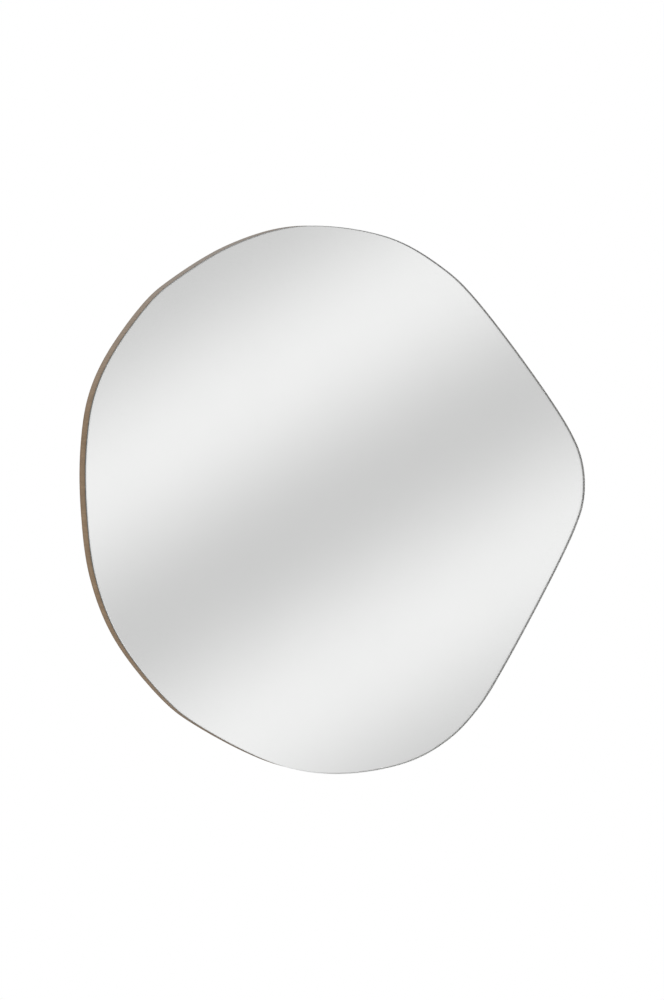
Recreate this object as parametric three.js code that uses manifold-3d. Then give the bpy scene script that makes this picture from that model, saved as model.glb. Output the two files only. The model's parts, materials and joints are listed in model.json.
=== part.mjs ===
// A frameless mirror with an irregular pebble outline: silvered float glass on an MDF backing
// board, bonded with foam tape and adhesive, hung from two D-ring strap hangers.
//
// Frame: millimetres, +Z up, +X to the right as seen from the front. The glass faces -Y, and the
// back face of the board lies in the plane Y = 0, centred on the origin.

import * as THREE from "three";
import { mergeGeometries, mergeVertices } from "three/addons/utils/BufferGeometryUtils.js";
import Module from "manifold-3d";

// ---------------------------------------------------------------------------------------------
// Driving dimensions, in millimetres

const mirrorWidth = 700;
const mirrorHeight = 700;

const glassThickness = 5;
const glassArris = 0.8; // the small ground chamfer along both edges of the glass
const silverThickness = 0.1;
const paintThickness = 0.2; // protective paint behind the silver
const edgeSealWidth = 0.5; // the silver stops this far inside the glass, and paint seals the rest

const tapeWidth = 20;
const tapeThickness = 1;
const tapePitch = 115;
const tapeSideMargin = 110; // a strip is added wherever this much is left beside the outermost ones
const tapeMargin = 45; // from the outline to each end of a strip

const beadWidth = 9;
const beadMargin = 65;

const boardThickness = 17;
const boardInset = 0.3; // the board stays just inside the glass
const boardFrontArris = 0.5;
const boardBackRound = 1;

// The part of the back that stays clear for a wall plate or cleat, between the hangers
const plateFieldWidth = 300;
const plateFieldHeight = 250;
const plateFieldDrop = 25; // of its middle, below the middle of the mirror

const hangerSpacing = 400; // between the two ring eyes
const hangerHeight = 150; // of the ring eyes above the middle of the mirror

const strapWidth = 16;
const strapSheet = 1;
const strapLeafGap = 0.2; // between the two leaves of the folded strap
const strapNeckRadius = 4; // the bend that brings the upper leaf down from the eye
const strapEndMargin = 8; // beyond the last screw
const strapCorner = 3;

const ringWire = 3;
const ringSideGap = 1.5; // between each leg of the ring and the strap
const ringBarEndGap = 0.5; // straight bar left outside the eye, before the corner
const ringReach = 20; // from the hinge axis to the middle of the wire at the bow
const ringClearance = 0.3; // wire in the eye, and wire over the strap at rest

const screwDiameter = 3.5;
const screwHeadDiameter = 7;
const screwHeadHeight = 2.4;
const screwHoleClearance = 0.1;
const screwPitch = 20;
const screwHeadGap = 1; // between the resting ring and the first screw's head
const screwFrontCover = 3; // board left in front of each screw's tip
const screwPointLength = 3;
const recessWidth = 1.1;
const recessLength = 3.8;
const recessDepth = 1.5;

const bumperDiameter = 20;
const bumperFaceDiameter = 16;
const bumperHeight = 8;
const bumperRound = 1;
const bumperInset = 50; // from the outline to a bumper's centre

// The outline's stations, measured round from the tip of the nose. Only their proportions count:
// the curve through them is fitted to mirrorWidth and mirrorHeight.
const outlineStations = [
  [349, -6],
  [347, 39],
  [327.5, 83.5],
  [190.5, 256],
  [146.5, 294],
  [71, 333.5],
  [-51.5, 349.5],
  [-144, 327.5],
  [-227.5, 282.5],
  [-259.5, 257.5],
  [-315.5, 187],
  [-339, 135.5],
  [-349, 71.5],
  [-348.5, -5.5],
  [-336.5, -89.5],
  [-304.5, -166.5],
  [-236.5, -249],
  [-194.5, -280.5],
  [-83, -335.5],
  [0.5, -350],
  [98.5, -338.5],
  [157, -310.5],
  [197.5, -273],
  [232, -224.5],
  [335, -47.5],
];

// Facets
const outlineSteps = 192;
const roundSteps = 24;
const cornerSteps = 4; // in each rounded corner of a flat piece
const wireSides = 10;
const bendStep = Math.PI / 10;

// ---------------------------------------------------------------------------------------------
// Sizes that follow from the driving dimensions

// Planes across the mirror, from the back of the board to the front of the glass
const boardBack = 0;
const boardFront = boardBack - boardThickness;
const paintBack = boardFront - tapeThickness;
const silverBack = paintBack - paintThickness;
const glassBack = silverBack - silverThickness;
const glassFront = glassBack - glassThickness;

const tapeCount = 1 + Math.floor((mirrorWidth - 2 * tapeSideMargin) / tapePitch);

const eyeRadius = ringWire / 2 + ringClearance;
const axisHeight = eyeRadius + strapSheet; // of the ring's hinge axis above the board
const strapTop = 2 * strapSheet + strapLeafGap;

const ringHalfWidth = strapWidth / 2 + ringSideGap + ringWire / 2;
const ringCorner = ringSideGap + ringWire / 2 - ringBarEndGap;
const ringRestTilt = Math.asin(
  (strapTop + ringWire / 2 + ringClearance - axisHeight) / ringReach,
);

const firstScrewDrop = ringReach + ringWire / 2 + screwHeadGap + screwHeadDiameter / 2;
const strapLength = firstScrewDrop + screwPitch + strapEndMargin;
const screwReach = boardThickness - screwFrontCover;

// ---------------------------------------------------------------------------------------------
// Solids: joining and cutting closed meshes

const wasm = await Module();
wasm.setup();

const weldDistance = 1e-4;

// Several open surfaces whose edges meet, or one closed one, as a single welded surface.
function welded(...surfaces) {
  const bare = surfaces.map((surface) => {
    const copy = surface.index ? surface.toNonIndexed() : surface.clone();
    copy.deleteAttribute("normal");
    copy.deleteAttribute("uv");
    return copy;
  });
  return mergeVertices(mergeGeometries(bare), weldDistance);
}

function toSolid(geometry) {
  const merged = welded(geometry);
  return new wasm.Manifold(
    new wasm.Mesh({
      numProp: 3,
      vertProperties: merged.attributes.position.array,
      triVerts: new Uint32Array(merged.index.array),
    }),
  );
}

function toGeometry(solid) {
  const mesh = solid.getMesh();
  const geometry = new THREE.BufferGeometry();
  geometry.setAttribute("position", new THREE.BufferAttribute(mesh.vertProperties, 3));
  geometry.setIndex(new THREE.BufferAttribute(mesh.triVerts, 1));
  return flatShaded(geometry);
}

function flatShaded(geometry) {
  const flat = geometry.index ? geometry.toNonIndexed() : geometry;
  flat.computeVertexNormals();
  return flat;
}

// ---------------------------------------------------------------------------------------------
// The outline, in the X-Z plane

const outline = fittedOutline();
const centroid = areaCentroid(outline);

function fittedOutline() {
  const corners = outlineStations.map(([x, z]) => new THREE.Vector3(x, z, 0));
  const curve = new THREE.CatmullRomCurve3(corners, true, "centripetal");
  const points = curve.getSpacedPoints(outlineSteps).slice(0, outlineSteps);
  const box = new THREE.Box3().setFromPoints(points);
  const middle = box.getCenter(new THREE.Vector3());
  const size = box.getSize(new THREE.Vector3());
  return points.map(
    (p) =>
      new THREE.Vector2(
        ((p.x - middle.x) * mirrorWidth) / size.x,
        ((p.y - middle.y) * mirrorHeight) / size.y,
      ),
  );
}

// The outline moved inwards by a constant distance, square to its sides.
function insetOutline(inset) {
  return outline.map((point, i) => {
    const before = outline.at(i - 1);
    const after = outline[(i + 1) % outline.length];
    const sideIn = inwardNormal(before, point);
    const sideOut = inwardNormal(point, after);
    const mitre = sideIn.clone().add(sideOut).normalize();
    const reach = inset / mitre.dot(sideIn);
    return point.clone().addScaledVector(mitre, reach);
  });
}

function inwardNormal(from, to) {
  const along = to.clone().sub(from).normalize();
  return new THREE.Vector2(-along.y, along.x);
}

function areaCentroid(loop) {
  let area = 0;
  const sum = new THREE.Vector2();
  loop.forEach((a, i) => {
    const b = loop[(i + 1) % loop.length];
    const cross = a.cross(b);
    area += cross / 2;
    sum.addScaledVector(a.clone().add(b), cross / 6);
  });
  return sum.divideScalar(area);
}

// The lowest and highest Z of the outline on the upright line at x.
function chordAt(x) {
  const heights = [];
  outline.forEach((a, i) => {
    const b = outline[(i + 1) % outline.length];
    if (a.x < x !== b.x < x) {
      heights.push(a.y + ((x - a.x) / (b.x - a.x)) * (b.y - a.y));
    }
  });
  return [Math.min(...heights), Math.max(...heights)];
}

// The point of the outline in a direction from its centroid.
function rimPointToward(angle) {
  const ray = new THREE.Vector2(Math.cos(angle), Math.sin(angle));
  for (let i = 0; i < outline.length; i++) {
    const a = outline[i].clone().sub(centroid);
    const b = outline[(i + 1) % outline.length].clone().sub(centroid);
    if (ray.cross(a) <= 0 && ray.cross(b) > 0 && ray.dot(a) > 0) {
      const share = ray.cross(a) / (ray.cross(a) - ray.cross(b));
      return a.lerp(b, share).add(centroid);
    }
  }
  throw new Error("the outline doesn't go round its centroid");
}

// A sheet with the mirror's outline. Each ring is [inset, y], and the rings run from the cap that
// faces the wall to the cap that faces the room.
function outlineSheet(rings) {
  const [backInset, backY] = rings[0];
  const [frontInset, frontY] = rings.at(-1);
  return welded(
    flatFace(insetOutline(backInset), [], backY, true),
    outlineSides(rings),
    flatFace(insetOutline(frontInset), [], frontY, false),
  );
}

function outlineSides(rings) {
  const loops = rings.map(([inset, y]) => insetOutline(inset).map((p) => [p.x, y, p.y]));
  const count = outline.length;
  const index = [];
  for (let ring = 0; ring + 1 < loops.length; ring++) {
    for (let i = 0; i < count; i++) {
      const a = ring * count + i;
      const b = ring * count + ((i + 1) % count);
      index.push(a, b, b + count, a, b + count, a + count);
    }
  }
  return surface(loops.flat(), index);
}

// The flat face inside a loop and outside its holes, at y.
function flatFace(loop, holes, y, facesWall) {
  const corners = [loop, ...holes].flat().map((p) => [p.x, y, p.y]);
  const triangles = THREE.ShapeUtils.triangulateShape(loop, holes);
  return surface(
    corners,
    triangles.flatMap(([a, b, c]) => (facesWall ? [a, c, b] : [a, b, c])),
  );
}

function surface(corners, index) {
  const geometry = new THREE.BufferGeometry();
  geometry.setAttribute("position", new THREE.Float32BufferAttribute(corners.flat(), 3));
  geometry.setIndex(index);
  return geometry;
}

// ---------------------------------------------------------------------------------------------
// Materials

const clearGlass = new THREE.MeshStandardMaterial({
  color: 0xdfe8e4,
  roughness: 0.02,
  metalness: 0,
  transparent: true,
  opacity: 0.35,
});
const silver = new THREE.MeshStandardMaterial({ color: 0xe6e7e7, roughness: 0.02, metalness: 1 });
const sealPaint = new THREE.MeshStandardMaterial({ color: 0x7d7d7a, roughness: 0.6 });
const whiteFoam = new THREE.MeshStandardMaterial({ color: 0xe9e7e0, roughness: 0.9 });
const paleAdhesive = new THREE.MeshStandardMaterial({ color: 0xd8d2c2, roughness: 0.5 });
const brownBoard = new THREE.MeshStandardMaterial({ color: 0x8e7a65, roughness: 0.6 });
const zincSteel = new THREE.MeshStandardMaterial({
  color: 0xb4b6b8,
  roughness: 0.35,
  metalness: 1,
});
const blackRubber = new THREE.MeshStandardMaterial({ color: 0x242424, roughness: 0.8 });

const mirror = new THREE.Group();

function addPiece(name, geometry, material, parent = mirror) {
  const mesh = new THREE.Mesh(flatShaded(geometry), material);
  mesh.name = name;
  parent.add(mesh);
  return mesh;
}

// ---------------------------------------------------------------------------------------------
// Glass, silver and paint

addPiece(
  "mirror_glass",
  outlineSheet([
    [glassArris, glassBack],
    [0, glassBack - glassArris],
    [0, glassFront + glassArris],
    [glassArris, glassFront],
  ]),
  clearGlass,
);

const silverInset = glassArris + edgeSealWidth;

addPiece(
  "silver_coating",
  outlineSheet([
    [silverInset, silverBack],
    [silverInset, glassBack],
  ]),
  silver,
);

// The paint covers the silver's back and turns round its edge onto the glass.
addPiece(
  "back_paint",
  outlineSheet([
    [glassArris, paintBack],
    [glassArris, glassBack],
    [silverInset, glassBack],
    [silverInset, silverBack],
  ]),
  sealPaint,
);

// ---------------------------------------------------------------------------------------------
// Foam tape and adhesive between the paint and the board

// A flat upright strip that stops a margin short of the outline at both ends.
function uprightStrip(x, width, margin, corner) {
  const [lowLeft, highLeft] = chordAt(x - width / 2);
  const [lowRight, highRight] = chordAt(x + width / 2);
  const low = Math.max(lowLeft, lowRight) + margin;
  const high = Math.min(highLeft, highRight) - margin;
  const strip = roundedRectangle(width, high - low, corner);
  const geometry = new THREE.ExtrudeGeometry(strip, {
    depth: tapeThickness,
    bevelEnabled: false,
    curveSegments: cornerSteps,
  });
  geometry.rotateX(Math.PI / 2); // the sheet's face turns to -Y
  return geometry.translate(x, boardFront, (low + high) / 2);
}

function roundedRectangle(width, height, corner) {
  const w = width / 2;
  const h = height / 2;
  const shape = new THREE.Shape();
  shape.moveTo(-w + corner, -h);
  shape.lineTo(w - corner, -h);
  shape.absarc(w - corner, -h + corner, corner, -Math.PI / 2, 0);
  shape.lineTo(w, h - corner);
  shape.absarc(w - corner, h - corner, corner, 0, Math.PI / 2);
  shape.lineTo(-w + corner, h);
  shape.absarc(-w + corner, h - corner, corner, Math.PI / 2, Math.PI);
  shape.lineTo(-w, -h + corner);
  shape.absarc(-w + corner, -h + corner, corner, Math.PI, (3 * Math.PI) / 2);
  return shape;
}

const tapeCorner = 0.5;

for (let i = 0; i < tapeCount; i++) {
  const x = centroid.x + (i - (tapeCount - 1) / 2) * tapePitch;
  addPiece(`foam_tape_${i + 1}`, uprightStrip(x, tapeWidth, tapeMargin, tapeCorner), whiteFoam);
}

const beadCount = tapeCount - 1;
const beadCorner = beadWidth / 2 - 0.1; // a bead spreads out with round ends

for (let i = 0; i < beadCount; i++) {
  const x = centroid.x + (i - (beadCount - 1) / 2) * tapePitch;
  addPiece(
    `adhesive_bead_${i + 1}`,
    uprightStrip(x, beadWidth, beadMargin, beadCorner),
    paleAdhesive,
  );
}

// ---------------------------------------------------------------------------------------------
// Backing board, with a blind hole for each hanger screw

const hangers = [
  ["left", centroid.x - hangerSpacing / 2],
  ["right", centroid.x + hangerSpacing / 2],
];
const screwDrops = [
  ["upper", firstScrewDrop],
  ["lower", firstScrewDrop + screwPitch],
];
const screwPlaces = hangers.flatMap(([, x]) =>
  screwDrops.map(([, drop]) => new THREE.Vector2(x, hangerHeight - drop)),
);

function boardWithHoles() {
  const backRound = [0, 1, 2, 3].map((step) => {
    const turn = (step / 3) * (Math.PI / 2);
    return [
      boardInset + boardBackRound * (1 - Math.sin(turn)),
      boardBack - boardBackRound * (1 - Math.cos(turn)),
    ];
  });
  const frontInset = boardInset + boardFrontArris;
  const edge = [...backRound, [boardInset, boardFront + boardFrontArris], [frontInset, boardFront]];
  const field = plateField();
  const mouths = screwPlaces.map(holeMouth);
  return welded(
    flatFace(insetOutline(boardInset + boardBackRound), [field, ...mouths], boardBack, true),
    flatFace(field, [], boardBack, true),
    ...screwPlaces.map(holeWall),
    outlineSides(edge),
    flatFace(insetOutline(frontInset), [], boardFront, false),
  );
}

function plateField() {
  const w = plateFieldWidth / 2;
  const h = plateFieldHeight / 2;
  const corners = [
    [-w, -h],
    [w, -h],
    [w, h],
    [-w, h],
  ];
  return corners.map(([x, z]) => new THREE.Vector2(x, z - plateFieldDrop));
}

// A drilled hole takes the screw's own profile, a clearance wider.
function holeWall(place) {
  const profile = screwShank(screwHoleClearance, boardBack).reverse();
  return aroundY(profile).translate(place.x, 0, place.y);
}

function holeMouth(place) {
  const radius = screwDiameter / 2 + screwHoleClearance;
  return Array.from({ length: roundSteps }, (_, i) => {
    const turn = (i / roundSteps) * 2 * Math.PI;
    return new THREE.Vector2(Math.sin(turn), Math.cos(turn)).multiplyScalar(radius).add(place);
  });
}

// ---------------------------------------------------------------------------------------------
// Screws

// Half of the shank's profile as [radius, y], from its tip in the board up to a height.
function screwShank(clearance, top) {
  const radius = screwDiameter / 2 + clearance;
  const tip = -screwReach - clearance;
  return [
    [0, tip],
    [radius, tip + screwPointLength],
    [radius, top],
  ];
}

function aroundY(profile, sides = roundSteps) {
  return new THREE.LatheGeometry(
    profile.map(([radius, y]) => new THREE.Vector2(radius, y)),
    sides,
  );
}

function panHeadScrew() {
  const shank = screwShank(0, strapTop);
  const headRadius = screwHeadDiameter / 2;
  const straight = screwHeadHeight * 0.45; // the head's upright side, below its dome
  const dome = [0, 1, 2, 3].map((step) => {
    const turn = (step / 3) * (Math.PI / 2);
    return [
      headRadius * Math.cos(turn),
      strapTop + straight + (screwHeadHeight - straight) * Math.sin(turn),
    ];
  });
  dome[3][0] = 0;
  const body = toSolid(aroundY([...shank, [headRadius, strapTop], ...dome]));
  const top = strapTop + screwHeadHeight;
  const slot = new THREE.BoxGeometry(recessLength, 2 * recessDepth, recessWidth);
  const along = toSolid(slot.clone().translate(0, top, 0));
  const across = toSolid(slot.clone().rotateY(Math.PI / 2).translate(0, top, 0));
  return toGeometry(body.subtract(along.add(across)));
}

// ---------------------------------------------------------------------------------------------
// Strap hangers

// The strip's centreline in the (height above board, drop) plane: up the lower leaf, round the
// eye, and by a reverse bend down onto the lower leaf as the upper one.
function strapCentreline() {
  const lowerLeaf = strapSheet / 2;
  const upperLeaf = strapTop - strapSheet / 2;
  const bend = eyeRadius + strapSheet / 2;
  const neck = strapNeckRadius;
  const wrap = Math.acos((upperLeaf - axisHeight + neck) / (bend + neck));
  const neckCentre = [axisHeight + (bend + neck) * Math.cos(wrap), -(bend + neck) * Math.sin(wrap)];
  return [
    [lowerLeaf, -strapLength],
    ...arcPoints([axisHeight, 0], bend, Math.PI, -wrap),
    ...arcPoints(neckCentre, neck, Math.PI - wrap, Math.PI).slice(1),
    [upperLeaf, -strapLength],
  ];
}

function arcPoints([cx, cy], radius, from, to) {
  const steps = Math.ceil(Math.abs(to - from) / bendStep);
  return Array.from({ length: steps + 1 }, (_, i) => {
    const angle = from + ((to - from) * i) / steps;
    return [cx + radius * Math.cos(angle), cy + radius * Math.sin(angle)];
  });
}

// Both sides of a centreline, as one closed outline of constant thickness.
function thickened(line, thickness) {
  const points = line.map(([x, y]) => new THREE.Vector2(x, y));
  const side = (sign) =>
    points.map((point, i) => {
      const before = points[i - 1];
      const after = points[i + 1];
      const sideIn = before ? inwardNormal(before, point) : inwardNormal(point, after);
      const sideOut = after ? inwardNormal(point, after) : sideIn;
      const mitre = sideIn.clone().add(sideOut).normalize();
      return point.clone().addScaledVector(mitre, (sign * thickness) / 2 / mitre.dot(sideIn));
    });
  return [...side(1), ...side(-1).reverse()];
}

function foldedStrap() {
  const section = new THREE.Shape(thickened(strapCentreline(), strapSheet));
  const strip = new THREE.ExtrudeGeometry(section, { depth: strapWidth, bevelEnabled: false });
  strip.translate(0, 0, -strapWidth / 2);
  // The section's x is the height above the board, its y the drop, and its depth lies along X.
  strip.applyMatrix4(
    new THREE.Matrix4().makeBasis(
      new THREE.Vector3(0, 1, 0),
      new THREE.Vector3(0, 0, 1),
      new THREE.Vector3(1, 0, 0),
    ),
  );
  const top = 2 * axisHeight; // past the eye, so that only the foot's corners are rounded
  const plan = new THREE.ExtrudeGeometry(
    roundedRectangle(strapWidth, strapLength + top, strapCorner),
    { depth: 3 * axisHeight, bevelEnabled: false, curveSegments: cornerSteps },
  );
  plan.rotateX(Math.PI / 2);
  plan.translate(0, 2.5 * axisHeight, (top - strapLength) / 2 + strapCorner);
  const wide = new THREE.BoxGeometry(2 * strapWidth, 4 * axisHeight, strapLength);
  wide.translate(0, 0, strapLength / 2 - strapLength + 2 * strapCorner);
  let strap = toSolid(strip).intersect(toSolid(plan).add(toSolid(wide)));
  for (const [, drop] of screwDrops) {
    const hole = new THREE.CylinderGeometry(
      screwDiameter / 2 + screwHoleClearance,
      screwDiameter / 2 + screwHoleClearance,
      4 * strapTop,
      roundSteps,
    );
    strap = strap.subtract(toSolid(hole.translate(0, 0, -drop)));
  }
  return toGeometry(strap);
}

// The wire's centreline: a bar through the eye, two legs, and a round bow below.
function ringPath() {
  const w = ringHalfWidth;
  const c = ringCorner;
  const bowTop = -(ringReach - w);
  const path = new THREE.CurvePath();
  const point = (x, z) => new THREE.Vector3(x, 0, z);
  const arc = (cx, cz, radius, from, to) => {
    const flat = new THREE.ArcCurve(cx, cz, radius, from, to, to < from);
    const curve = new THREE.Curve();
    curve.getPoint = (t) => {
      const p = flat.getPoint(t);
      return point(p.x, p.y);
    };
    return curve;
  };
  path.add(new THREE.LineCurve3(point(-w + c, 0), point(w - c, 0)));
  path.add(arc(w - c, -c, c, Math.PI / 2, 0));
  path.add(new THREE.LineCurve3(point(w, -c), point(w, bowTop)));
  path.add(arc(0, bowTop, w, 0, -Math.PI));
  path.add(new THREE.LineCurve3(point(-w, bowTop), point(-w, -c)));
  path.add(arc(-w + c, -c, c, Math.PI, Math.PI / 2));
  return path;
}

function dRing() {
  const steps = 56;
  return new THREE.TubeGeometry(ringPath(), steps, ringWire / 2, wireSides, true);
}

addPiece("backing_board", boardWithHoles(), brownBoard);

const strapGeometry = foldedStrap();
const screwGeometry = panHeadScrew();
const ringGeometry = dRing();

for (const [side, x] of hangers) {
  const hanger = new THREE.Group();
  hanger.position.set(x, boardBack, hangerHeight);
  mirror.add(hanger);
  addPiece(`${side}_strap`, strapGeometry.clone(), zincSteel, hanger);
  for (const [place, drop] of screwDrops) {
    const screw = addPiece(`${side}_${place}_screw`, screwGeometry.clone(), zincSteel, hanger);
    screw.position.z = -drop;
  }
  const swing = new THREE.Group();
  swing.position.y = axisHeight;
  swing.rotation.x = ringRestTilt;
  hanger.add(swing);
  addPiece(`${side}_ring`, ringGeometry.clone(), zincSteel, swing);
}

// ---------------------------------------------------------------------------------------------
// Bumpers that hold the mirror parallel to the wall

function bumper() {
  const base = bumperDiameter / 2;
  const face = bumperFaceDiameter / 2;
  return aroundY([
    [0, 0],
    [base, 0],
    [base, bumperRound],
    [face, bumperHeight - bumperRound],
    [face - bumperRound / 3, bumperHeight - bumperRound / 3],
    [face - bumperRound, bumperHeight],
    [0, bumperHeight],
  ]);
}

const bumperPlaces = [
  ["upper_right", Math.PI / 4],
  ["upper_left", (3 * Math.PI) / 4],
  ["lower_left", (5 * Math.PI) / 4],
  ["lower_right", (7 * Math.PI) / 4],
];

for (const [place, angle] of bumperPlaces) {
  const rim = rimPointToward(angle);
  const inward = centroid.clone().sub(rim).setLength(bumperInset);
  const centre = rim.add(inward);
  const mesh = addPiece(`${place}_bumper`, bumper(), blackRubber);
  mesh.position.set(centre.x, boardBack, centre.y);
}

export default mirror;
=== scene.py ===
import json
import math

import bmesh
import bpy
from mathutils import Matrix, Vector


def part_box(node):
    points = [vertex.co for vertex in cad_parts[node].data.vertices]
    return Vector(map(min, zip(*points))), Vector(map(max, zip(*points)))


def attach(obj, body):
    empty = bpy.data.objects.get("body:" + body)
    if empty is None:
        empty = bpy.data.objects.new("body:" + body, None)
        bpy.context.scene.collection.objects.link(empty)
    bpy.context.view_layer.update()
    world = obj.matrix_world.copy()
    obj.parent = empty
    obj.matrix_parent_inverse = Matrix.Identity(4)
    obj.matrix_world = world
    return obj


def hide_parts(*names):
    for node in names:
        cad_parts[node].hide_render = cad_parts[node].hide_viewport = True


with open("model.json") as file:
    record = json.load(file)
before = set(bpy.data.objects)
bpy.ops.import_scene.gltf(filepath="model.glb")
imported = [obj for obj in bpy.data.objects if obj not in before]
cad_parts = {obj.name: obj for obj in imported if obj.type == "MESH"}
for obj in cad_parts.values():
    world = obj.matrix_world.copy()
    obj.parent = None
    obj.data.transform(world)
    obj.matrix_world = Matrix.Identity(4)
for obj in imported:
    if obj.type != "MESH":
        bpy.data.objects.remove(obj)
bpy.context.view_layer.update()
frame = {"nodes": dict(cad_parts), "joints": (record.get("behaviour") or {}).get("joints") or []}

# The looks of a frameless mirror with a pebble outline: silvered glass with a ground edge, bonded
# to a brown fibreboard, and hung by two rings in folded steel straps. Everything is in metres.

# ---------------------------------------------------------------------------------------------
# Sizes

MM = 0.001

# Glass
ARRIS = 0.8 * MM
BOND_GAP = 0.02 * MM  # keeps the pane's back clear of the coatings, which lie behind it

# Board
BOARD_BACK_ROUND = 1.0 * MM
BOARD_BACK_SEGMENTS = 6
BOARD_FRONT_ARRIS = 0.5 * MM
BOARD_FRONT_SEGMENTS = 2

# Sealant
SEALANT_INSET = 0.5 * MM  # from the board's rim
SEALANT_WIDTH = 2.5 * MM

# Strap hangers
STRAP_SHEET = 1.0 * MM
STRAP_LEAF_GAP = 0.2 * MM
STRAP_TOP = 2 * STRAP_SHEET + STRAP_LEAF_GAP  # the upper leaf's face, off the board
STRAP_EYE_SEGMENTS = 28
STRAP_NECK_RADIUS = 4.0 * MM
STRAP_NECK_SEGMENTS = 8
STRAP_CORNER = 3.0 * MM
STRAP_CORNER_SEGMENTS = 5
STRAP_EDGE_BREAK = 0.12 * MM
STRAP_EDGE_SEGMENTS = 2
STRAP_EDGE_ANGLE = 60  # degrees; edges that turn by more are broken

# Rings
RING_WIRE = 3.0 * MM
RING_REACH = 20.0 * MM
RING_CORNER = 2.5 * MM
RING_CORNER_SEGMENTS = 6
RING_BOW_SEGMENTS = 32
RING_REST_RISE = 1.2 * MM  # of the bow above the hinge axis, where it rests over the strap
WIRE_SIDES = 20

# Screws
SCREW_SHANK = 3.5 * MM
SCREW_HEAD = 7.0 * MM
SCREW_HEAD_HEIGHT = 2.4 * MM
SCREW_HEAD_BREAK = 0.2 * MM  # round the head's underside
SCREW_HEAD_SIDE = 0.9 * MM  # the head's upright side, below its dome
SCREW_DOME_SEGMENTS = 7
SCREW_POINT = 3.0 * MM
SCREW_SIDES = 32
SCREW_HOLE_CLEARANCE = 0.1 * MM
SCREW_HOLE_SIDES = 24
RECESS_LENGTH = 3.8 * MM
RECESS_WIDTH = 1.1 * MM
RECESS_DEPTH = 1.5 * MM
RECESS_TAPER = 0.55

# Bumpers
BUMPER_FOOT = 1.0 * MM  # the upright side of the foot
BUMPER_FACE = 16.0 * MM
BUMPER_ROUND = 1.0 * MM
BUMPER_ROUND_SEGMENTS = 5
BUMPER_RIM_ANGLE = 50  # degrees; a rim that turns by more is rounded
BUMPER_SIDES = 64

SHARP_ANGLE = math.radians(32)

# Corners closer than this are one; the wire's are a little further apart where it closes
TOUCH = 0.001 * MM
WELD = 0.01 * MM

# How much of a face's normal points through the mirror: less on a rim or an arris, more on a flat
GLASS_RIM = 0.3
GLASS_CHAMFER = 0.9
BOARD_FLAT = 0.95
FLAT = 0.999

ACROSS = Vector((1, 0, 0))
OFF_BOARD = Vector((0, 1, 0))

glass_low, glass_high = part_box("mirror_glass")
board_low, board_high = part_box("backing_board")
hinge = {joint["child"]: Vector(joint["pos_m"]) for joint in frame["joints"]}

# ---------------------------------------------------------------------------------------------
# Node materials


def new_material(name, **settings):
    """A node material, its nodes, and its shader with plain values on the named sockets."""
    material = bpy.data.materials.new(name)
    material.use_nodes = True
    tree = material.node_tree
    shader = tree.nodes["Principled BSDF"]
    for socket, value in settings.items():
        shader.inputs[socket.replace("_", " ")].default_value = value
    return material, tree, shader


def feed(tree, shader, **outputs):
    """Links other nodes' outputs to the shader's named sockets."""
    for socket, output in outputs.items():
        tree.links.new(output, shader.inputs[socket.replace("_", " ")])


def node(tree, kind, inputs=None, **settings):
    """Adds a node. Its inputs take values, or other nodes' outputs."""
    made = tree.nodes.new(kind)
    for name, value in settings.items():
        setattr(made, name, value)
    for socket, value in (inputs or {}).items():
        if isinstance(value, bpy.types.NodeSocket):
            tree.links.new(value, made.inputs[socket])
        else:
            made.inputs[socket].default_value = value
    return made


def computed(tree, operation, *values):
    """The result of one step of arithmetic."""
    return node(tree, "ShaderNodeMath", dict(enumerate(values)), operation=operation).outputs[0]


def ranged(tree, value, low, high, at_low=0.0, at_high=1.0):
    """What goes from one value to another as the given value goes from low to high."""
    inputs = {
        "Value": value,
        "From Min": low,
        "From Max": high,
        "To Min": at_low,
        "To Max": at_high,
    }
    return node(tree, "ShaderNodeMapRange", inputs).outputs[0]


def spread(tree, value, low, high):
    """A 0 to 1 value spread between two others."""
    return ranged(tree, value, 0.0, 1.0, low, high)


def place_on_piece(tree, stretch=(1, 1, 1), turn=0.0):
    """Object coordinates, turned about the Y axis and then stretched."""
    where = node(tree, "ShaderNodeTexCoord")
    inputs = {
        "Vector": where.outputs["Object"],
        "Rotation": (0, turn, 0),
        "Scale": [1 / share for share in stretch],
    }
    return node(tree, "ShaderNodeMapping", inputs, vector_type="TEXTURE").outputs["Vector"]


def noise(tree, vector, size, detail, roughness=0.5):
    """Cloudy noise whose blotches are about one size, in metres, across."""
    inputs = {"Vector": vector, "Scale": 1 / size, "Detail": detail, "Roughness": roughness}
    return node(tree, "ShaderNodeTexNoise", inputs).outputs["Fac"]


def steps(tree, factor, *stops):
    """A colour ramp with the given (place, colour) stops."""
    ramp = node(tree, "ShaderNodeValToRGB", {"Fac": factor})
    elements = ramp.color_ramp.elements
    while len(elements) < len(stops):
        elements.new(0.5)
    for element, (place, colour) in zip(elements, stops):
        element.position = place
        element.color = (*colour, 1) if isinstance(colour, tuple) else (colour, colour, colour, 1)
    return ramp.outputs["Color"]


def two_tones(tree, factor, dark, pale):
    """A darker and a paler tone, from the low and high parts of a noise."""
    return steps(tree, factor, (0.3, dark), (0.7, pale))


def mixed(tree, factor, first, second, blend="MIX"):
    """Two colours mixed by a factor."""
    mix = node(tree, "ShaderNodeMix", data_type="RGBA", blend_type=blend)
    for index, value in ((0, factor), (6, first), (7, second)):
        if isinstance(value, bpy.types.NodeSocket):
            tree.links.new(value, mix.inputs[index])
        elif isinstance(value, tuple):
            mix.inputs[index].default_value = (*value, 1)
        else:
            mix.inputs[index].default_value = value
    return mix.outputs[2]


def multiplied(tree, first, second):
    """Two colours multiplied."""
    return mixed(tree, 1.0, first, second, "MULTIPLY")


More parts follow.
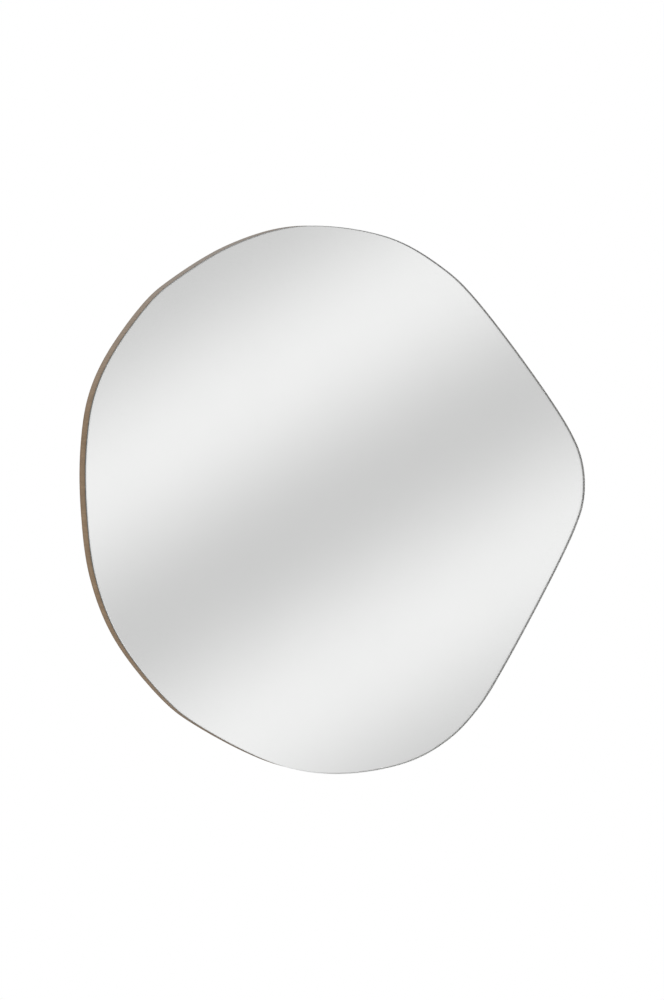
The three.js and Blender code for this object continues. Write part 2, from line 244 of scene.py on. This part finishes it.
def bumped(tree, shader, height, distance):
    """Relief, distance metres deep, on the shader's surface."""
    bump = node(tree, "ShaderNodeBump", {"Height": height, "Distance": distance, "Strength": 1.0})
    feed(tree, shader, Normal=bump.outputs["Normal"])


def clear_float_glass():
    """Clear glass, whose surface keeps the faint long waves of the float line."""
    material, tree, shader = new_material(
        "clear_float_glass",
        Base_Color=(0.989, 0.991, 0.989, 1),
        Roughness=0.0,
        IOR=1.52,
        Transmission_Weight=1.0,
    )
    waves = noise(tree, place_on_piece(tree, (1, 1, 0.25)), 120 * MM, 0)
    bumped(tree, shader, waves, 0.0015 * MM)
    return material


def ground_glass_edge():
    """The glass's ground rim: frosted, and letting part of the light through."""
    material, tree, shader = new_material("ground_glass_edge", IOR=1.52, Transmission_Weight=0.62)
    place = place_on_piece(tree)
    tone = two_tones(tree, noise(tree, place, 6 * MM, 4), (0.43, 0.43, 0.41), (0.49, 0.49, 0.47))
    grind = noise(tree, place, 0.35 * MM, 3, 0.7)
    feed(tree, shader, Base_Color=tone, Roughness=spread(tree, grind, 0.18, 0.34))
    bumped(tree, shader, grind, 0.03 * MM)
    return material


def ground_glass_arris():
    """The small chamfers of the glass, frosted by the stone that ground them."""
    material, tree, shader = new_material("ground_glass_arris", IOR=1.52, Transmission_Weight=0.65)
    place = place_on_piece(tree)
    tone = two_tones(tree, noise(tree, place, 4 * MM, 4), (0.83, 0.84, 0.83), (0.9, 0.91, 0.9))
    grind = noise(tree, place, 0.3 * MM, 3, 0.7)
    feed(tree, shader, Base_Color=tone, Roughness=spread(tree, grind, 0.3, 0.55))
    bumped(tree, shader, grind, 0.02 * MM)
    return material


def mirror_silver():
    """The silver coating: bright metal, a shade uneven where it was poured."""
    material, tree, shader = new_material("mirror_silver", Metallic=1.0, Roughness=0.0)
    cloud = noise(tree, place_on_piece(tree), 90 * MM, 3)
    tone = steps(tree, cloud, (0.2, (0.928, 0.931, 0.928)), (0.8, (0.942, 0.944, 0.941)))
    feed(tree, shader, Base_Color=tone)
    return material


def grey_back_paint():
    """The protective paint on the silver, sprayed, with a faint orange peel."""
    material, tree, shader = new_material("grey_back_paint")
    place = place_on_piece(tree)
    cloud = noise(tree, place, 25 * MM, 5)
    tone = two_tones(tree, cloud, (0.19, 0.19, 0.186), (0.24, 0.24, 0.235))
    peel = noise(tree, place, 1.2 * MM, 2)
    feed(tree, shader, Base_Color=tone, Roughness=spread(tree, peel, 0.45, 0.6))
    bumped(tree, shader, peel, 0.01 * MM)
    return material


def fibreboard_face():
    """The sanded back of the board: packed brown fibres, with darker flecks of bark."""
    material, tree, shader = new_material("fibreboard_face")
    place = place_on_piece(tree)
    lays = [place_on_piece(tree, (1, 1, 0.3), turn) for turn in (0.3, 1.35, -0.85)]
    fibres = [noise(tree, lay, 0.8 * MM, 4, 0.7) for lay in lays]
    felt = mixed(tree, 0.34, mixed(tree, 0.5, fibres[0], fibres[1]), fibres[2])
    tone = steps(
        tree,
        felt,
        (0.34, (0.205, 0.146, 0.094)),
        (0.5, (0.292, 0.214, 0.142)),
        (0.66, (0.372, 0.282, 0.196)),
    )
    tone = multiplied(tree, tone, two_tones(tree, noise(tree, place, 60 * MM, 3), 0.9, 1.06))
    flecks = steps(tree, noise(tree, place, 2.2 * MM, 3, 0.8), (0.66, 0.0), (0.74, 0.55))
    tone = mixed(tree, flecks, tone, (0.11, 0.075, 0.047))
    feed(tree, shader, Base_Color=tone, Roughness=spread(tree, felt, 0.62, 0.82))
    bumped(tree, shader, felt, 0.05 * MM)
    return material


def fibreboard_edge():
    """The cut edge: denser, darker skins over a paler core, crossed by the router's fine marks and
    closed with a satin sealer."""
    material, tree, shader = new_material(
        "fibreboard_edge",
        Coat_Weight=0.65,
        Coat_Roughness=0.2,
        Specular_IOR_Level=0.15,
    )
    place = place_on_piece(tree)
    depth = node(tree, "ShaderNodeSeparateXYZ", {"Vector": place}).outputs["Y"]
    tone = steps(
        tree,
        ranged(tree, depth, board_low.y, board_high.y),
        (0.0, (0.275, 0.188, 0.112)),
        (0.16, (0.35, 0.24, 0.15)),
        (0.5, (0.375, 0.265, 0.168)),
        (0.84, (0.35, 0.24, 0.15)),
        (1.0, (0.27, 0.184, 0.11)),
    )
    fibres = noise(tree, place, 0.8 * MM, 4, 0.7)
    blotches = noise(tree, place, 14 * MM, 4)
    around = node(tree, "ShaderNodeUVMap", uv_map="edge_length").outputs["UV"]
    stretch = node(tree, "ShaderNodeMapping", {"Vector": around, "Scale": (1, 0.05, 1)})
    router = noise(tree, stretch.outputs["Vector"], 1.6 * MM, 2, 0.6)
    tone = multiplied(tree, tone, two_tones(tree, fibres, 0.8, 1.15))
    tone = multiplied(tree, tone, two_tones(tree, blotches, 0.9, 1.1))
    tone = multiplied(tree, tone, two_tones(tree, router, 0.86, 1.1))
    feed(tree, shader, Base_Color=tone, Roughness=spread(tree, fibres, 0.4, 0.6))
    bumped(tree, shader, mixed(tree, 0.5, fibres, router), 0.05 * MM)
    return material


def white_foam():
    """Closed-cell foam tape."""
    material, tree, shader = new_material("white_foam", Roughness=0.9)
    inputs = {"Vector": place_on_piece(tree), "Scale": 1 / (0.25 * MM)}
    cells = node(tree, "ShaderNodeTexVoronoi", inputs).outputs["Distance"]
    tone = steps(tree, cells, (0.1, (0.62, 0.61, 0.57)), (0.6, (0.82, 0.81, 0.76)))
    feed(tree, shader, Base_Color=tone)
    bumped(tree, shader, cells, 0.05 * MM)
    return material


def pale_adhesive():
    """Cured mirror adhesive, spread flat, with a few small bubbles."""
    material, tree, shader = new_material("pale_adhesive", Roughness=0.45)
    place = place_on_piece(tree)
    tone = two_tones(tree, noise(tree, place, 8 * MM, 3), (0.60, 0.56, 0.46), (0.72, 0.68, 0.58))
    feed(tree, shader, Base_Color=tone)
    bumped(tree, shader, noise(tree, place, 1.5 * MM, 2), 0.1 * MM)
    return material


def edge_sealant():
    """The sealant that closes the gap behind the glass against damp, tooled by hand."""
    material, tree, shader = new_material("edge_sealant", Roughness=0.5)
    place = place_on_piece(tree)
    tone = two_tones(tree, noise(tree, place, 12 * MM, 3), (0.37, 0.33, 0.26), (0.45, 0.40, 0.32))
    feed(tree, shader, Base_Color=tone)
    bumped(tree, shader, noise(tree, place, 2.5 * MM, 2), 0.08 * MM)
    return material


def zinc_plate(name, drawn_along):
    """Bright zinc plate, with faint draw lines and a bluish and straw bloom."""
    material, tree, shader = new_material(name, Metallic=1.0)
    place = place_on_piece(tree)
    bloom = steps(
        tree,
        noise(tree, place, 7 * MM, 3),
        (0.3, (0.56, 0.58, 0.62)),
        (0.5, (0.63, 0.64, 0.65)),
        (0.7, (0.68, 0.665, 0.62)),
    )
    lines = noise(tree, place_on_piece(tree, drawn_along), 0.25 * MM, 3, 0.6)
    spots = noise(tree, place, 1.3 * MM, 4, 0.7)
    wear = mixed(tree, 0.5, lines, spots)
    feed(tree, shader, Base_Color=bloom, Roughness=spread(tree, wear, 0.22, 0.46))
    bumped(tree, shader, lines, 0.012 * MM)
    return material


def black_rubber():
    """Matt moulded rubber with a fine grain and a trace of dust."""
    material, tree, shader = new_material("black_rubber")
    place = place_on_piece(tree)
    dust = noise(tree, place, 5 * MM, 5, 0.7)
    tone = steps(tree, dust, (0.35, (0.018, 0.018, 0.018)), (0.75, (0.045, 0.044, 0.042)))
    grain = noise(tree, place, 0.4 * MM, 2)
    feed(tree, shader, Base_Color=tone, Roughness=spread(tree, grain, 0.6, 0.8))
    bumped(tree, shader, grain, 0.03 * MM)
    return material


GLASS = clear_float_glass()
GLASS_EDGE = ground_glass_edge()
GLASS_ARRIS = ground_glass_arris()
SILVER = mirror_silver()
BACK_PAINT = grey_back_paint()
BOARD_FACE = fibreboard_face()
BOARD_EDGE = fibreboard_edge()
FOAM = white_foam()
ADHESIVE = pale_adhesive()
SEALANT = edge_sealant()
STRAP_STEEL = zinc_plate("zinc_strap", (1, 1, 0.02))
WIRE_STEEL = zinc_plate("zinc_wire", (1, 1, 0.2))
SCREW_STEEL = zinc_plate("zinc_screw", (1, 1, 1))
RUBBER = black_rubber()

# ---------------------------------------------------------------------------------------------
# Making pieces


def new_object(name, data):
    """Adds an object to the scene."""
    made = bpy.data.objects.new(name, data)
    bpy.context.scene.collection.objects.link(made)
    return made


def new_mesh(name, bm):
    """Uses up a bmesh."""
    mesh = bpy.data.meshes.new(name)
    bm.to_mesh(mesh)
    bm.free()
    return mesh


def finished_piece(name, bm, materials, body):
    """Turns a bmesh into a smooth-shaded piece on a body."""
    bmesh.ops.recalc_face_normals(bm, faces=bm.faces)
    mesh = new_mesh(name, bm)
    for material in materials:
        mesh.materials.append(material)
    mesh.shade_smooth()
    mesh.set_sharp_from_angle(angle=SHARP_ANGLE)
    piece = new_object(name, mesh)
    flats = piece.modifiers.new("flats stay flat", "WEIGHTED_NORMAL")
    flats.keep_sharp = True
    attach(piece, body)
    return piece


def temporary_object(bm):
    bmesh.ops.recalc_face_normals(bm, faces=bm.faces)
    return new_object("temporary", new_mesh("temporary", bm))


def cut_out(bm, cutters):
    """The bmesh with other closed shapes cut out of it, one after the other."""
    body = temporary_object(bm)
    tools = [temporary_object(cutter) for cutter in cutters]
    for tool in tools:
        cut = body.modifiers.new("cut", "BOOLEAN")
        cut.operation = "DIFFERENCE"
        cut.solver = "EXACT"
        cut.object = tool
    result = bmesh.new()
    result.from_object(body, bpy.context.evaluated_depsgraph_get())
    for used in (body, *tools):
        bpy.data.meshes.remove(used.data)
    return result


def turned(profile, sides):
    """A solid of revolution about the Y axis, from a profile of (radius, y) corners that starts
    and ends on the axis."""
    bm = bmesh.new()
    corners = [bm.verts.new((radius, y, 0)) for radius, y in profile]
    edges = [bm.edges.new(pair) for pair in zip(corners, corners[1:])]
    bmesh.ops.spin(
        bm,
        geom=corners + edges,
        cent=(0, 0, 0),
        axis=(0, 1, 0),
        angle=math.tau,
        steps=sides,
        use_merge=True,
    )
    bmesh.ops.remove_doubles(bm, verts=bm.verts, dist=TOUCH)
    return bm


def moved(bm, offset):
    bmesh.ops.translate(bm, verts=bm.verts, vec=offset)
    return bm


def corners_in(geometry):
    """The vertices among what an operator made."""
    return [item for item in geometry if isinstance(item, bmesh.types.BMVert)]


def sharp_edges(bm, degrees):
    return [edge for edge in bm.edges if edge.calc_face_angle(0) > math.radians(degrees)]


def break_edges(bm, edges, width, segments=1):
    """A chamfer, or with more segments a round."""
    bmesh.ops.bevel(
        bm,
        geom=edges,
        offset=width,
        offset_type="OFFSET",
        affect="EDGES",
        segments=segments,
        profile=0.5,
        material=-1,
    )


def foot_of(low, high):
    """The point on the board's back that a box is centred on."""
    return ((low.x + high.x) / 2, 0, (low.z + high.z) / 2)


# ---------------------------------------------------------------------------------------------
# Glass


def outline_at(cad_node, y):
    """The corners of a sheet at one depth, in order round the mirror, on a curve twice as fine."""
    low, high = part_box(cad_node)
    vertices = frame["nodes"][cad_node].data.vertices
    corners = {tuple(round(c, 6) for c in v.co.xz) for v in vertices if abs(v.co.y - y) < TOUCH}
    loop = [Vector(c) for c in sorted(corners, key=lambda c: math.atan2(c[1], c[0]))]
    fine = []
    for i, corner in enumerate(loop):
        before, after, beyond = (loop[(i + k) % len(loop)] for k in (-1, 1, 2))
        # Halfway along the cubic curve through four corners
        between = (9 * (corner + after) - (before + beyond)) / 16
        between.x = min(max(between.x, low.x), high.x)
        between.y = min(max(between.y, low.z), high.z)
        fine += [corner, between]
    return fine


def outlined_slab(outline, front, back):
    """A flat slab with an outline, and its front face."""
    bm = bmesh.new()
    front_face = bm.faces.new([bm.verts.new((x, front, z)) for x, z in outline])
    pushed = bmesh.ops.extrude_face_region(bm, geom=[front_face], use_keep_orig=True)["geom"]
    bmesh.ops.translate(bm, verts=corners_in(pushed), vec=(0, back - front, 0))
    bmesh.ops.recalc_face_normals(bm, faces=bm.faces)
    return bm, front_face


def back_face_at(bm, y):
    """The largest flat face at a depth that faces the wall."""
    flat = [f for f in bm.faces if f.normal.y > FLAT and abs(f.verts[0].co.y - y) < TOUCH]
    return max(flat, key=lambda f: f.calc_area())


def glass_pane():
    outline = outline_at("mirror_glass", glass_high.y - ARRIS)
    front, back = glass_low.y, glass_high.y - BOND_GAP
    bm, front_face = outlined_slab(outline, front, back)
    break_edges(bm, front_face.edges[:], ARRIS)
    break_edges(bm, back_face_at(bm, back).edges[:], ARRIS - BOND_GAP)
    bm.normal_update()
    clear, rim, arris, silver = range(4)
    for face in bm.faces:
        if abs(face.normal.y) < GLASS_RIM:
            face.material_index = rim
        elif abs(face.normal.y) < GLASS_CHAMFER:
            face.material_index = arris
        else:
            face.material_index = clear
    back_face_at(bm, back).material_index = silver
    materials = [GLASS, GLASS_EDGE, GLASS_ARRIS, SILVER]
    pane = finished_piece("glass_pane", bm, materials, "panel")
    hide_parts("mirror_glass")


# ---------------------------------------------------------------------------------------------
# Board


def screw_hole(screw):
    """The drilled hole that a screw sits in, open at the board's back."""
    low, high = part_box(screw)
    radius = SCREW_SHANK / 2 + SCREW_HOLE_CLEARANCE
    tip = low.y - SCREW_HOLE_CLEARANCE
    profile = [(0, tip), (radius, tip + SCREW_POINT), (radius, STRAP_TOP), (0, STRAP_TOP)]
    return moved(turned(profile, SCREW_HOLE_SIDES), foot_of(low, high))


def lay_edge_length(bm):
    """A map on the board's edge: along the rim, and across the board's thickness, in metres."""
    layer = bm.loops.layers.uv.new("edge_length")
    radius = (board_high.x - board_low.x) / 2
    for face in bm.faces:
        middle = face.calc_center_median()
        middle_turn = math.atan2(middle.z, middle.x)
        for loop in face.loops:
            turn = math.atan2(loop.vert.co.z, loop.vert.co.x) - middle_turn
            turn = (turn + math.pi) % math.tau - math.pi
            loop[layer].uv = ((middle_turn + turn) * radius, loop.vert.co.y)


def fibreboard(screws):
    outline = outline_at("backing_board", board_low.y + BOARD_FRONT_ARRIS)
    bm, front_face = outlined_slab(outline, board_low.y, board_high.y)
    break_edges(bm, front_face.edges[:], BOARD_FRONT_ARRIS, BOARD_FRONT_SEGMENTS)
    back_rim = back_face_at(bm, board_high.y).edges[:]
    break_edges(bm, back_rim, BOARD_BACK_ROUND, BOARD_BACK_SEGMENTS)
    bm = cut_out(bm, [screw_hole(screw) for screw in screws])
    bm.normal_update()
    for face in bm.faces:
        face.material_index = 0 if abs(face.normal.y) > BOARD_FLAT else 1
    lay_edge_length(bm)
    board = finished_piece("fibreboard", bm, [BOARD_FACE, BOARD_EDGE], "panel")
    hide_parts("backing_board")


def drawn_in(bm, corners, distance):
    """Draws corners on the board's outline in towards the middle by about a distance."""
    share = 1 - distance / board_high.x
    bmesh.ops.scale(bm, vec=(share, 1, share), verts=corners)


def sealant_line():
    """A thin line of sealant round the rim, between the board and the mirror's painted back."""
    front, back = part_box("back_paint")[1].y + TOUCH, board_low.y - TOUCH
    outline = outline_at("backing_board", board_low.y + BOARD_FRONT_ARRIS)
    bm = bmesh.new()
    corners = [bm.verts.new((x, front, z)) for x, z in outline]
    edges = [bm.edges.new(pair) for pair in zip(corners, corners[1:] + corners[:1])]
    drawn_in(bm, corners, SEALANT_INSET)
    inner = bmesh.ops.extrude_edge_only(bm, edges=edges)["geom"]
    drawn_in(bm, corners_in(inner), SEALANT_WIDTH)
    deeper = bmesh.ops.extrude_face_region(bm, geom=bm.faces[:], use_keep_orig=True)["geom"]
    bmesh.ops.translate(bm, verts=corners_in(deeper), vec=(0, back - front, 0))
    finished_piece("sealant_line", bm, [SEALANT], "panel")


# ---------------------------------------------------------------------------------------------
# Hangers. Each is made about its hinge axis's own place: X across, Y off the board, Z up.


def pushed_on(bm, section, offset):
    """Carries a strip or wire straight on from its last section."""
    made = bmesh.ops.extrude_face_region(bm, geom=section)["geom"]
    bmesh.ops.translate(bm, verts=corners_in(made), vec=offset)
    return made


def bent_on(bm, section, axis, centre, angle, segments):
    """Carries a strip or wire on round a bend."""
    made = bmesh.ops.spin(bm, geom=section, cent=centre, axis=axis, angle=angle, steps=segments)
    return made["geom_last"]


def strap_hanger(side):
    """One strip: up the board, round the ring's bar, and by a reverse bend down onto itself."""
    cad_node = f"{side}_strap"
    low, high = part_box(cad_node)
    axis = hinge[f"{side}_d_ring"]
    width, length = high.x - low.x, axis.z - low.z
    eye_bend = axis.y - STRAP_SHEET / 2
    upper_leaf = STRAP_TOP - STRAP_SHEET / 2
    neck_reach = eye_bend + STRAP_NECK_RADIUS
    wrap = math.acos((upper_leaf - axis.y + STRAP_NECK_RADIUS) / neck_reach)
    neck = Vector((0, axis.y + neck_reach * math.cos(wrap), -neck_reach * math.sin(wrap)))
    bm = bmesh.new()
    bmesh.ops.create_grid(bm, x_segments=1, y_segments=1, size=0.5)
    bmesh.ops.scale(bm, vec=(width, STRAP_SHEET, 1), verts=bm.verts)
    bmesh.ops.translate(bm, vec=(0, STRAP_SHEET / 2, -length), verts=bm.verts)
    section = pushed_on(bm, list(bm.faces), (0, 0, length))
    eye = (0, axis.y, 0)
    section = bent_on(bm, section, ACROSS, eye, -(math.pi + wrap), STRAP_EYE_SEGMENTS)
    section = bent_on(bm, section, ACROSS, neck, wrap, STRAP_NECK_SEGMENTS)
    pushed_on(bm, section, (0, 0, -(length + neck.z)))
    bmesh.ops.remove_doubles(bm, verts=bm.verts, dist=TOUCH)
    at_foot = [e for e in bm.edges if all(abs(v.co.z + length) < TOUCH for v in e.verts)]
    through = [e for e in at_foot if abs(e.verts[0].co.x - e.verts[1].co.x) < TOUCH]
    break_edges(bm, through, STRAP_CORNER, STRAP_CORNER_SEGMENTS)
    bm.normal_update()
    break_edges(bm, sharp_edges(bm, STRAP_EDGE_ANGLE), STRAP_EDGE_BREAK, STRAP_EDGE_SEGMENTS)
    moved(bm, (axis.x, 0, axis.z))
    bm = cut_out(bm, [screw_hole(f"{side}_{place}_screw") for place in ("upper", "lower")])
    strap = finished_piece(f"{side}_folded_strap", bm, [STRAP_STEEL], "panel")
    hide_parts(cad_node)


def d_ring(side):
    """Round wire: a bar through the eye, a corner, a leg, the round bow, and back up."""
    cad_node = f"{side}_ring"
    low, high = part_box(cad_node)
    body = f"{side}_d_ring"
    half_width = (high.x - low.x - RING_WIRE) / 2
    leg = RING_REACH - half_width - RING_CORNER
    bar = 2 * (half_width - RING_CORNER)
    corner = (bar / 2, 0, -RING_CORNER)
    bow = (0, 0, -RING_CORNER - leg)
    last_corner = (-bar / 2, 0, -RING_CORNER)
    bm = bmesh.new()
    turn_to_x = Matrix.Rotation(math.pi / 2, 4, OFF_BOARD)
    bmesh.ops.create_circle(bm, segments=WIRE_SIDES, radius=RING_WIRE / 2, matrix=turn_to_x)
    bmesh.ops.translate(bm, vec=(-bar / 2, 0, 0), verts=bm.verts)
    section = pushed_on(bm, list(bm.edges) + list(bm.verts), (bar, 0, 0))
    section = bent_on(bm, section, OFF_BOARD, corner, math.pi / 2, RING_CORNER_SEGMENTS)
    section = pushed_on(bm, section, (0, 0, -leg))
    section = bent_on(bm, section, OFF_BOARD, bow, math.pi, RING_BOW_SEGMENTS)
    section = pushed_on(bm, section, (0, 0, leg))
    bent_on(bm, section, OFF_BOARD, last_corner, math.pi / 2, RING_CORNER_SEGMENTS)
    bmesh.ops.remove_doubles(bm, verts=bm.verts, dist=WELD)
    lean = Matrix.Rotation(math.asin(RING_REST_RISE / RING_REACH), 4, ACROSS)
    bmesh.ops.transform(bm, matrix=Matrix.Translation(hinge[body]) @ lean, verts=bm.verts)
    ring = finished_piece(f"{side}_wire_ring", bm, [WIRE_STEEL], body)
    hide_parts(cad_node)


def recess_bar(length, width):
    """One bar of the cross recess's punch, tapering downwards from above the head."""
    bm = bmesh.new()
    bmesh.ops.create_cube(bm, size=1)
    bmesh.ops.scale(bm, vec=(length, 2 * RECESS_DEPTH, width), verts=bm.verts)
    lower = [v for v in bm.verts if v.co.y < 0]
    bmesh.ops.scale(bm, vec=(RECESS_TAPER, 1, RECESS_TAPER), verts=lower)
    return bm


def pan_head_screw(name):
    low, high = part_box(name)
    shank, head = SCREW_SHANK / 2, SCREW_HEAD / 2
    top = STRAP_TOP + SCREW_HEAD_HEIGHT
    dome_foot = STRAP_TOP + SCREW_HEAD_SIDE
    arc = [math.pi / 2 * step / SCREW_DOME_SEGMENTS for step in range(SCREW_DOME_SEGMENTS)]
    profile = [
        (0, low.y),
        (shank, low.y + SCREW_POINT),
        (shank, STRAP_TOP),
        (head - SCREW_HEAD_BREAK, STRAP_TOP),
        (head, STRAP_TOP + SCREW_HEAD_BREAK),
        *[(head * math.cos(a), dome_foot + (top - dome_foot) * math.sin(a)) for a in arc],
        (0, top),
    ]
    bars = [recess_bar(RECESS_LENGTH, RECESS_WIDTH), recess_bar(RECESS_WIDTH, RECESS_LENGTH)]
    bm = cut_out(turned(profile, SCREW_SIDES), [moved(bar, (0, top, 0)) for bar in bars])
    moved(bm, foot_of(low, high))
    screw = finished_piece(f"{name}_plated", bm, [SCREW_STEEL], "panel")
    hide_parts(name)


# ---------------------------------------------------------------------------------------------
# Bumpers


def rubber_bumper(name):
    low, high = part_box(name)
    foot, face, top = (high.x - low.x) / 2, BUMPER_FACE / 2, high.y
    bm = turned([(0, 0), (foot, 0), (foot, BUMPER_FOOT), (face, top), (0, top)], BUMPER_SIDES)
    bm.normal_update()
    edges = sharp_edges(bm, BUMPER_RIM_ANGLE)
    rim = [e for e in edges if all(abs(v.co.y - top) < TOUCH for v in e.verts)]
    break_edges(bm, rim, BUMPER_ROUND, BUMPER_ROUND_SEGMENTS)
    moved(bm, foot_of(low, high))
    bumper = finished_piece(f"{name}_moulded", bm, [RUBBER], "panel")
    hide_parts(name)


# ---------------------------------------------------------------------------------------------
# The pieces that stay as they are

KEPT_FINISHES = {
    "silver_coating": SILVER,
    "back_paint": BACK_PAINT,
    "foam_tape": FOAM,
    "adhesive_bead": ADHESIVE,
}


def finish_kept_pieces():
    for name, piece in frame["nodes"].items():
        for start, finish in KEPT_FINISHES.items():
            if name.startswith(start):
                piece.data.materials.clear()
                piece.data.materials.append(finish)


# ---------------------------------------------------------------------------------------------
# Assembly

SIDES = ("left", "right")
screws = [f"{side}_{place}_screw" for side in SIDES for place in ("upper", "lower")]

finish_kept_pieces()
glass_pane()
fibreboard(screws)
sealant_line()
for side in SIDES:
    strap_hanger(side)
    d_ring(side)
for screw in screws:
    pan_head_screw(screw)
for name in frame["nodes"]:
    if name.endswith("_bumper"):
        rubber_bumper(name)

# ---------------------------------------------------------------------------------------------
# Floor, light and camera

FLOOR_DROP = 1.5
FLOOR_RADIUS = 2.6
FLOOR_SIDES = 96
FLOOR_TONE = 0.72
FLOOR_ROUGHNESS = 0.9

# The share of white that the camera sees in the floor, and where it grows to all of it
FLOOR_WHITE = 0.6
FADE_FROM = 0.9
FADE_TO = 0.9 * FLOOR_RADIUS

# What the mirror faces: a pale studio with broad slanting bands, as the photograph shows in it
BAND_TURN = (76.9, 0.0, -117.7)
BAND_PHASE = 1.17
BAND_MEAN = 0.792
BAND_SWING = 0.139

# The surround by the Z of a look: from Z, to Z, and the value at each. The first two are shares of
# the bands' tone.
DARKER_BELOW = (-0.5, -0.27, 0.12, 1.0)
BRIGHTER_ABOVE = (0.12, 0.35, 1.0, 1.3)
BACKDROP = (0.04, 0.5, 0.1, 1.0)
DIFFUSE_LIGHT = (-1.0, 1.0, 0.32, 0.28)

# The Y of a look, over which the studio in front gives way to the backdrop behind the mirror
BACKDROP_FROM, BACKDROP_TO = 0.1, 0.6

# Lamps: place, size and watts. Both aim at the mirror's middle.
KEY_LAMP = ((-3.4, -2.0, -0.6), 2.2, 80)
FILL_LAMP = ((1.6, 3.2, 0.6), 2.4, 80)

CAMERA_TURN = math.radians(-24.77)
CAMERA_RISE = math.radians(3.56)
CAMERA_DISTANCE = 8.0
CAMERA_AIM = Vector((-0.0007, 0.0003, -0.00056))
CAMERA_LENS = 225.6
CAMERA_SENSOR = 36


def pale_floor():
    """A pale floor well below the mirror, which fades to the white surround before its rim."""
    bm = bmesh.new()
    bmesh.ops.create_circle(bm, cap_ends=True, segments=FLOOR_SIDES, radius=FLOOR_RADIUS)
    floor = new_object("floor", new_mesh("floor", moved(bm, (0, 0, -FLOOR_DROP))))
    tone = (FLOOR_TONE, FLOOR_TONE, FLOOR_TONE, 1)
    material, tree, shader = new_material("pale_floor", Base_Color=tone, Roughness=FLOOR_ROUGHNESS)
    floor.data.materials.append(material)
    where = node(tree, "ShaderNodeTexCoord").outputs["Object"]
    flat = node(tree, "ShaderNodeVectorMath", {0: where, 1: (1, 1, 0)}, operation="MULTIPLY")
    reach = node(tree, "ShaderNodeVectorMath", {0: flat.outputs[0]}, operation="LENGTH")
    fade = ranged(tree, reach.outputs["Value"], FADE_FROM, FADE_TO, FLOOR_WHITE, 1.0)
    seen = node(tree, "ShaderNodeLightPath").outputs["Is Camera Ray"]
    share = computed(tree, "MULTIPLY", fade, seen)
    white = node(tree, "ShaderNodeEmission", {"Color": (1, 1, 1, 1), "Strength": 1.0})
    inputs = {0: share, 1: shader.outputs[0], 2: white.outputs[0]}
    blend = node(tree, "ShaderNodeMixShader", inputs)
    tree.links.new(blend.outputs[0], tree.nodes["Material Output"].inputs["Surface"])


def studio_surround():
    """White to the camera. Gloss and glass see the bands in front of the mirror, between a darker
    floor and a brighter ceiling, and behind it a backdrop that pales upwards."""
    world = bpy.data.worlds.new("studio")
    bpy.context.scene.world = world
    world.use_nodes = True
    tree = world.node_tree
    way = node(tree, "ShaderNodeTexCoord").outputs["Generated"]
    axes = node(tree, "ShaderNodeSeparateXYZ", {"Vector": way})
    depth, rise = axes.outputs["Y"], axes.outputs["Z"]
    along = node(tree, "ShaderNodeVectorMath", {0: way, 1: BAND_TURN}, operation="DOT_PRODUCT")
    wave = computed(tree, "COSINE", computed(tree, "ADD", along.outputs["Value"], BAND_PHASE))
    bands = computed(tree, "MULTIPLY_ADD", wave, BAND_SWING, BAND_MEAN)
    front = multiplied(tree, bands, ranged(tree, rise, *DARKER_BELOW))
    front = multiplied(tree, front, ranged(tree, rise, *BRIGHTER_ABOVE))
    behind = ranged(tree, depth, BACKDROP_FROM, BACKDROP_TO)
    reflected = mixed(tree, behind, front, ranged(tree, rise, *BACKDROP))
    path = node(tree, "ShaderNodeLightPath").outputs
    shiny = computed(tree, "MAXIMUM", path["Is Glossy Ray"], path["Is Transmission Ray"])
    unseen = mixed(tree, shiny, ranged(tree, rise, *DIFFUSE_LIGHT), reflected)
    colour = mixed(tree, path["Is Camera Ray"], unseen, (1.0, 1.0, 1.0))
    background = tree.nodes["Background"]
    tree.links.new(colour, background.inputs["Color"])
    background.inputs["Strength"].default_value = 1.0


def soft_lamp(name, place, size, watts):
    lamp = bpy.data.lights.new(name, "AREA")
    lamp.shape = "DISK"
    lamp.size = size
    lamp.energy = watts
    holder = new_object(name, lamp)
    holder.location = place
    holder.rotation_euler = (-Vector(place)).to_track_quat("-Z", "Y").to_euler()
    holder.visible_glossy = False
    holder.visible_transmission = False


def camera():
    data = bpy.data.cameras.new("camera")
    data.lens = CAMERA_LENS
    data.sensor_width = CAMERA_SENSOR
    holder = new_object("camera", data)
    level = math.cos(CAMERA_RISE)
    back = Vector(
        (math.sin(CAMERA_TURN) * level, -math.cos(CAMERA_TURN) * level, math.sin(CAMERA_RISE))
    )
    holder.location = CAMERA_AIM + back * CAMERA_DISTANCE
    holder.rotation_euler = (-back).to_track_quat("-Z", "Y").to_euler()
    bpy.context.scene.camera = holder


pale_floor()
studio_surround()
soft_lamp("key", *KEY_LAMP)
soft_lamp("fill", *FILL_LAMP)
camera()
bpy.context.scene.view_settings.view_transform = "Standard"
